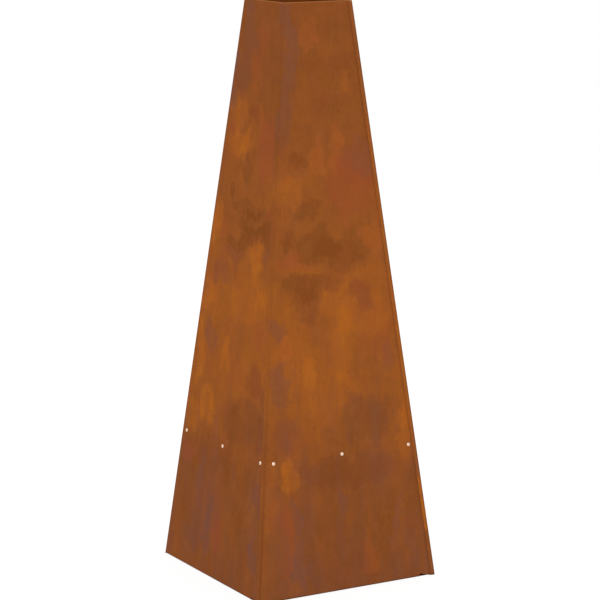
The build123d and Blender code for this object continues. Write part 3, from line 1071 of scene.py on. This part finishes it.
class FIREPLACE_OT_log_grate(bpy.types.Operator):
    """Bend the seven grate bars and two rails and weld them together"""

    bl_idname = "fireplace.log_grate"
    bl_label = "Bend the log grate"

    def execute(self, context):
        hearth = context.scene.fireplace_hearth
        finish = finish_once(BAR_STEEL, bar_skin, hearth)
        bend = mm(18)
        horn = mm(42)  # how far the bars' ends stand up
        bar_count = 7
        bar_inset = mm(16)  # from the rails' ends to the outer bars
        rail_inset = mm(36)  # from the bars' ends to the rails
        bar = bent_bar(
            (-BAR_SIZE / 2, BAR_FRONT + bend, GRATE_TOP),
            (BAR_SIZE / 2, BAR_BACK, GRATE_TOP + BAR_SIZE),
            (0, -1, 0),
            [
                ("bend", (0, BAR_FRONT + bend, GRATE_TOP + bend), -1, 0, 0),
                ("run", (0, 0, BAR_SIZE + horn - bend)),
            ],
        )
        soften(bar, hearth.bar_edge)
        first = GRATE_HALF - bar_inset
        spots = [2 * first * index / (bar_count - 1) - first for index in range(bar_count)]
        bars = [copy_of(bar, Matrix.Translation((x, 0, 0))) for x in spots]
        hand_over(joined(bars), "log_bars", "log_grate", finish, "grate_bars")
        bpy.data.objects.remove(bar)

        thin = mm(4)
        half_rail = mm(10)
        turn = mm(7)
        rail = bent_bar(
            (-GRATE_HALF, -half_rail, SEAT),
            (-GRATE_HALF + thin, half_rail, GRATE_TOP - turn),
            (0, 0, 1),
            [
                ("bend", (-GRATE_HALF + turn, 0, GRATE_TOP - turn), 0, 1, 0),
                ("run", (2 * (GRATE_HALF - turn), 0, 0)),
                ("bend", (GRATE_HALF - turn, 0, GRATE_TOP - turn), 0, 1, 0),
                ("run", (0, 0, SEAT - GRATE_TOP + turn)),
            ],
        )
        soften(rail, hearth.bar_edge)
        places = {"front": BAR_FRONT + rail_inset, "rear": BAR_BACK - rail_inset}
        for end, y in places.items():
            hand_over(
                copy_of(rail, Matrix.Translation((0, y, 0))),
                end + "_rail",
                "log_grate",
                finish,
                f"grate_{end}_rail",
            )
        bpy.data.objects.remove(rail)

        bead_length = mm(14)
        bead = weld_bead(bead_length, pitch=mm(1.7), radius=mm(1.9), seed=8)
        lie_back = Matrix.Rotation(-math.pi / 2, 4, "X")
        beads = []
        for y in places.values():
            for x in spots:
                for edge in (-BAR_SIZE / 2, BAR_SIZE / 2):
                    place = Matrix.Translation((x + edge, y - bead_length / 2, GRATE_TOP))
                    beads.append(copy_of(bead, place @ lie_back))
        weld = finish_once(WELD_METAL, weld_rust, context.scene.fireplace_weld)
        hand_over(joined(beads), "grate_weld_beads", "log_grate", weld)
        bpy.data.objects.remove(bead)
        return {"FINISHED"}


class FIREPLACE_OT_ash_pan(bpy.types.Operator):
    """Fold the ash pan and bend its pull"""

    bl_idname = "fireplace.ash_pan"
    bl_label = "Fold the ash pan"

    def execute(self, context):
        hearth = context.scene.fireplace_hearth
        middle = SEAT + PAN_HEIGHT / 2
        tray = start(
            bpy.ops.mesh.primitive_cube_add,
            size=1,
            scale=(2 * PAN_HALF, PAN_BACK - PAN_FRONT, PAN_HEIGHT),
            location=(0, (PAN_FRONT + PAN_BACK) / 2, middle),
        )
        bpy.ops.object.mode_set(mode="EDIT")
        for radius, test in (
            (mm(4), lambda one, two: abs(one.z - two.z) > mm(10)),
            (mm(2.5), lambda one, two: max(one.z, two.z) < SEAT + mm(1)),
        ):
            choose_edges(tray, test)
            bpy.ops.mesh.bevel(offset=radius, offset_type="OFFSET", segments=5, affect="EDGES")
        choose_faces(tray, lambda face: face.normal.z > 0.9)
        bpy.ops.mesh.delete(type="FACE")
        bpy.ops.object.mode_set(mode="OBJECT")
        apply_modifier(tray, "SOLIDIFY", thickness=mm(1.5), offset=-1, use_even_offset=True)
        soften(tray, hearth.pan_edge)
        finish = burnt_sheet("Ash pan browned by heat", hearth, 6.8)
        hand_over(tray, "ash_tray", "ash_pan", finish, "ash_pan")

        reach = PAN_FRONT - mm(34)
        bend = mm(14)
        half_bar = BAR_SIZE / 2
        half_pull = mm(48)
        inner = half_pull + half_bar - bend
        pull = bent_bar(
            (-half_pull - half_bar, reach + bend, middle - half_bar),
            (-half_pull + half_bar, PAN_FRONT, middle + half_bar),
            (0, -1, 0),
            [
                ("bend", (-inner, reach + bend, middle), 0, 0, 1),
                ("run", (2 * inner, 0, 0)),
                ("bend", (inner, reach + bend, middle), 0, 0, 1),
                ("run", (0, PAN_FRONT - reach - bend, 0)),
            ],
        )
        soften(pull, hearth.bar_edge)
        skin = finish_once(BAR_STEEL, bar_skin, hearth)
        hand_over(pull, "bar_pull", "ash_pan", skin, "pan_pull")

        bead_length = mm(7)
        bead = weld_bead(bead_length, pitch=mm(1.4), radius=mm(1.5), seed=11)
        lie_along = Matrix.Rotation(math.pi / 2, 4, "Y")
        beads = []
        for x in (-half_pull, half_pull):
            for edge in (-half_bar, half_bar):
                place = Matrix.Translation((x - bead_length / 2, PAN_FRONT, middle + edge))
                beads.append(copy_of(bead, place @ lie_along))
        weld = finish_once(WELD_METAL, weld_rust, context.scene.fireplace_weld)
        hand_over(joined(beads), "pull_weld_beads", "ash_pan", weld)
        bpy.data.objects.remove(bead)
        return {"FINISHED"}


def white_to_the_eye(tree):
    """1 for the rays that should see the backdrop itself: the camera's, reflections and clear glass."""
    path = add_node(tree, "LightPath")
    seen = add_node(
        tree, "Math", path.outputs["Is Camera Ray"], path.outputs["Is Glossy Ray"], operation="MAXIMUM"
    )
    return add_node(tree, "Math", seen, path.outputs["Is Transmission Ray"], operation="MAXIMUM")


class FIREPLACE_OT_stage(bpy.types.Operator):
    """Lay the white floor and set up the even light, the soft lamps and the camera"""

    bl_idname = "fireplace.stage"
    bl_label = "Set the stage"

    def execute(self, context):
        stage = context.scene.fireplace_stage
        clearance = mm(0.5)  # under the walls' feet, so that floor and sheet don't coincide
        thickness = mm(20)
        floor = start(
            bpy.ops.mesh.primitive_circle_add,
            vertices=96,
            radius=stage.floor_radius,
            fill_type="NGON",
            location=(0, 0, -clearance),
        )
        bpy.ops.object.mode_set(mode="EDIT")
        bpy.ops.mesh.select_all(action="SELECT")
        bpy.ops.mesh.extrude_region_move(TRANSFORM_OT_translate={"value": (0, 0, -thickness)})
        bpy.ops.object.mode_set(mode="OBJECT")
        tidy_mesh(floor)
        floor.name = "floor"
        material, tree = new_material("Matt white paper")
        # To the eye it is mostly glow, so that it reads white and still takes a soft shadow
        paper = add_node(tree, "BsdfDiffuse", (0.86, 0.86, 0.86))
        lit = add_node(tree, "Emission", (1, 1, 1), 1.1)
        share = add_node(tree, "Math", white_to_the_eye(tree), 0.8, operation="MULTIPLY")
        add_node(tree, "OutputMaterial", add_node(tree, "MixShader", share, paper, lit))
        floor.data.materials.append(material)

        world = bpy.data.worlds.new("Even white studio")
        context.scene.world = world
        world.use_nodes = True
        tree = world.node_tree
        tree.nodes.clear()
        strength = add_node(tree, "MapRange", white_to_the_eye(tree), 0, 1, stage.sky, 1)
        add_node(tree, "OutputWorld", add_node(tree, "Background", (1, 1, 1), strength))

        centre = Vector((0, 0, HEIGHT / 2))
        for name, spot in (
            ("lamp over the camera", (2.4, 2.9, 3.0)),
            ("lamp over the mouth", (-2.4, -2.9, 3.0)),
        ):
            light = bpy.data.lights.new(name, "AREA")
            light.shape = "DISK"
            light.size = stage.lamp_size
            light.energy = stage.lamp_power
            lamp = bpy.data.objects.new(name, light)
            context.collection.objects.link(lamp)
            lamp.location = spot
            lamp.rotation_euler = (centre - lamp.location).to_track_quat("-Z", "Y").to_euler()

        data = bpy.data.cameras.new("camera")
        data.sensor_width = 36
        data.lens = stage.lens
        data.clip_end = 100
        camera = bpy.data.objects.new("camera", data)
        context.collection.objects.link(camera)
        turn = stage.camera_turn
        out = Vector((math.sin(turn), -math.cos(turn), 0)) * stage.camera_distance
        aside = Vector((math.cos(turn), math.sin(turn), 0)) * stage.camera_slide
        camera.location = out + aside + Vector((0, 0, stage.camera_height))
        camera.rotation_euler = (math.pi / 2 - stage.camera_tilt, 0, turn)
        context.scene.camera = camera
        context.scene.view_settings.view_transform = "Standard"
        return {"FINISHED"}


STEPS = (
    FIREPLACE_OT_walls,
    FIREPLACE_OT_corner_welds,
    FIREPLACE_OT_fire_floor,
    FIREPLACE_OT_screws,
    FIREPLACE_OT_washers_and_nuts,
    FIREPLACE_OT_log_grate,
    FIREPLACE_OT_ash_pan,
    FIREPLACE_OT_stage,
)

SETTINGS = {
    "fireplace_rust": RustSettings,
    "fireplace_weld": WeldSettings,
    "fireplace_hearth": HearthSettings,
    "fireplace_fastener": FastenerSettings,
    "fireplace_stage": StageSettings,
}


class FIREPLACE_PT_parts(bpy.types.Panel):
    """The fireplace's sizes and colours, and its parts in the order in which they are made"""

    bl_idname = "FIREPLACE_PT_parts"
    bl_label = "Garden fireplace"
    bl_space_type = "VIEW_3D"
    bl_region_type = "UI"
    bl_category = "Fireplace"

    def draw(self, context):
        for name, group in SETTINGS.items():
            box = self.layout.box()
            box.label(text=group.__doc__)
            for setting in group.__annotations__:
                box.prop(getattr(context.scene, name), setting)
        for step in STEPS:
            self.layout.operator(step.bl_idname)


def register():
    """Registers the settings, the steps and the panel."""
    for name, group in SETTINGS.items():
        bpy.utils.register_class(group)
        setattr(bpy.types.Scene, name, bpy.props.PointerProperty(type=group))
    for step in STEPS:
        bpy.utils.register_class(step)
    bpy.utils.register_class(FIREPLACE_PT_parts)


def unregister():
    """Takes them all out again."""
    bpy.utils.unregister_class(FIREPLACE_PT_parts)
    for step in reversed(STEPS):
        bpy.utils.unregister_class(step)
    for name, group in SETTINGS.items():
        delattr(bpy.types.Scene, name)
        bpy.utils.unregister_class(group)


def main():
    """Registers the steps and makes everything in order."""
    register()
    bpy.ops.fireplace.walls()
    bpy.ops.fireplace.corner_welds()
    bpy.ops.fireplace.fire_floor()
    bpy.ops.fireplace.screws()
    bpy.ops.fireplace.washers_and_nuts()
    bpy.ops.fireplace.log_grate()
    bpy.ops.fireplace.ash_pan()
    bpy.ops.fireplace.stage()


if __name__ == "__main__":
    main()
